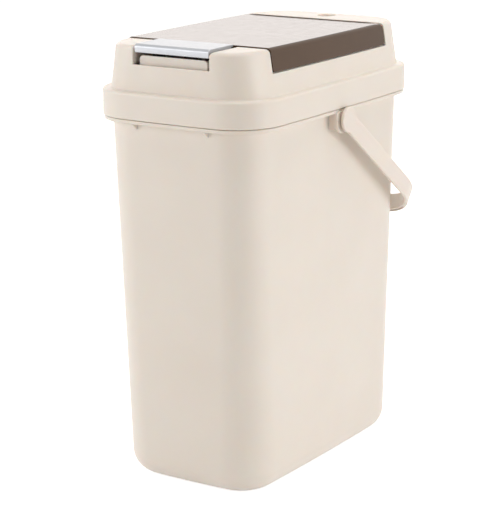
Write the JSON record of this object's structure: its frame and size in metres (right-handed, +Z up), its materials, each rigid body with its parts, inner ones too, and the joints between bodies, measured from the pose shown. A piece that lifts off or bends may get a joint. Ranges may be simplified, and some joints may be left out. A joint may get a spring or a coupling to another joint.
{
  "type": "push top countertop bin",
  "caption": "Tapered rectangular countertop waste bin with a bail handle, a lift-off cover, a sprung hinged lid and a push-button latch.",
  "frame": {"origin": "middle of the bucket's flat base, on the surface that it stands on", "axes": "+Z up, -Y towards the front with the push button, +X to the right as seen from the front, along the bail's pivots"},
  "size_m": [0.1868, 0.2867, 0.3867],
  "materials": {
    "cream_plastic": "satin moulded polypropylene, warm cream",
    "brown_plastic": "satin-gloss moulded plastic, grey brown",
    "silver_plastic": "silver-painted moulded plastic",
    "grey_plastic": "matt moulded plastic, dark grey",
    "steel": "zinc-plated steel",
    "rubber": "matt black rubber"
  },
  "bodies": {
    "bucket_body": {"bucket": "cream_plastic"},
    "bail": {"bail_handle": "cream_plastic"},
    "cover": {"hood_cover": "cream_plastic", "deck_frame": "cream_plastic", "hinge_bracket": "grey_plastic", "hinge_rod": "steel", "rod_clips": "steel", "lid_spring_left": "steel", "lid_spring_right": "steel", "bracket_screws": "steel", "lid_bumpers": "rubber", "latch_housing": "cream_plastic", "housing_screws": "steel", "latch_pin": "steel", "latch_spring": "steel"},
    "lid": {"lid_panel": "brown_plastic", "lid_liner": "cream_plastic"},
    "latch": {"latch_lever": "grey_plastic", "push_button": "silver_plastic"}
  },
  "joints": [
    {"name": "cover_lift", "type": "slide", "parent": "bucket_body", "child": "cover", "axis": [0, 0, 1], "range_m": [0, 0.12]},
    {"name": "bail_swing", "type": "hinge", "parent": "bucket_body", "child": "bail", "pos_m": [0, 0, 0.314], "axis": [1, 0, 0], "range_deg": [0, 253]},
    {"name": "lid_hinge", "type": "hinge", "parent": "cover", "child": "lid", "pos_m": [0, 0.0864, 0.379], "axis": [-1, 0, 0], "range_deg": [0, 85], "deforming": ["lid_spring_left", "lid_spring_right"]},
    {"name": "button_press", "type": "hinge", "parent": "cover", "child": "latch", "pos_m": [0, -0.1066, 0.355], "axis": [1, 0, 0], "range_deg": [0, 4.5], "stiffness_Nm_per_rad": 0.18, "springref_deg": -5.73, "deforming": ["latch_spring"]}
  ]
}
